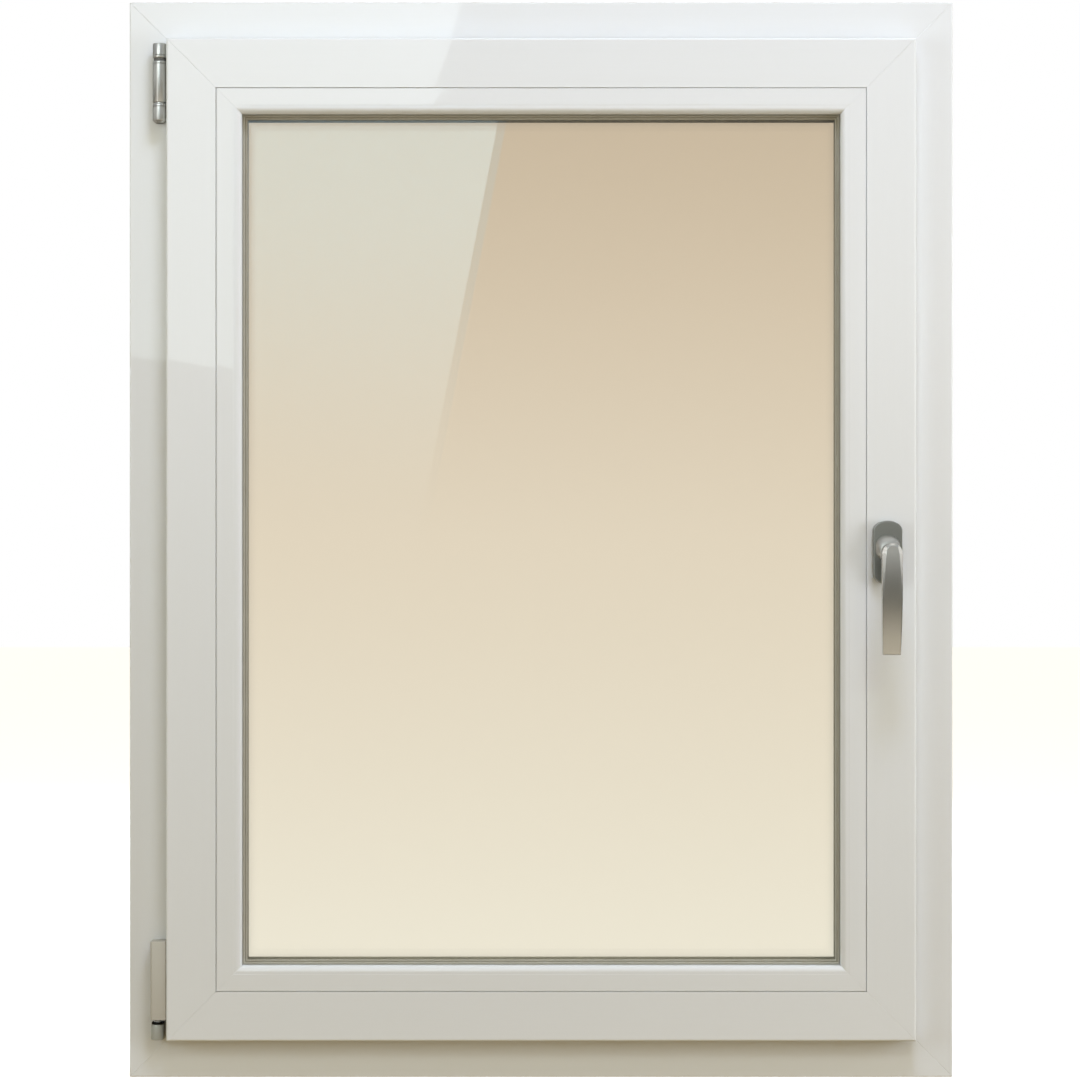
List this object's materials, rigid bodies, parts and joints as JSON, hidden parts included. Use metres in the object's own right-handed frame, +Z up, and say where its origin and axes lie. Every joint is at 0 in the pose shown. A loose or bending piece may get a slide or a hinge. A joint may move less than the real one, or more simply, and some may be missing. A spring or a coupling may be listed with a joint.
{
  "type": "tilt-and-turn window",
  "caption": "Single-sash tilt-and-turn window of white plastic profiles with a sealed glass unit, hinges on the left and a metal lever handle on the right.",
  "frame": {"origin": "middle of the frame's bottom face", "axes": "+X to the right seen from the room, +Y to the outside, +Z up"},
  "size_m": [0.85, 0.1516, 1.11],
  "materials": {
    "white_plastic": "glossy white",
    "glass": "clear polished",
    "spacer": "matt dark grey",
    "edge_seal": "matt black",
    "grey_seal": "matt grey",
    "setting_block": "matt",
    "hinge_metal": "satin",
    "steel": "bright",
    "handle_metal": "satin brushed"
  },
  "bodies": {
    "window": {"bead_bottom": "white_plastic", "bead_hinge_side": "white_plastic", "bead_lock_side": "white_plastic", "bead_seal": "grey_seal", "bead_top": "white_plastic", "bottom_hinge_band": "steel", "bottom_hinge_bearing": "hinge_metal", "bottom_hinge_cover": "hinge_metal", "bottom_hinge_pin": "steel", "drain_cover_left": "white_plastic", "drain_cover_right": "white_plastic", "edge_seal_outside": "edge_seal", "edge_seal_room": "edge_seal", "frame_head": "white_plastic", "frame_jamb_hinge": "white_plastic", "frame_jamb_lock": "white_plastic", "frame_seal": "grey_seal", "frame_sill": "white_plastic", "glazing_seal_outside": "grey_seal", "handle_rosette": "handle_metal", "pane_middle": "glass", "pane_outside": "glass", "pane_room": "glass", "sash_bottom_rail": "white_plastic", "sash_seal": "grey_seal", "sash_stile_hinge": "white_plastic", "sash_stile_lock": "white_plastic", "sash_top_rail": "white_plastic", "setting_blocks": "setting_block", "spacer_outside": "spacer", "spacer_room": "spacer", "top_hinge_bearing": "hinge_metal", "top_hinge_pin": "steel", "top_hinge_stay_eye": "hinge_metal", "top_hinge_washer": "steel"},
    "handle": {"handle_lever": "handle_metal", "handle_spindle": "steel"}
  },
  "joints": [
    {"name": "handle_turn", "type": "hinge", "parent": "window", "child": "handle", "pos_m": [0.3545, -0.068, 0.542], "axis": [0, 1, 0], "range_deg": [0, 180]}
  ]
}
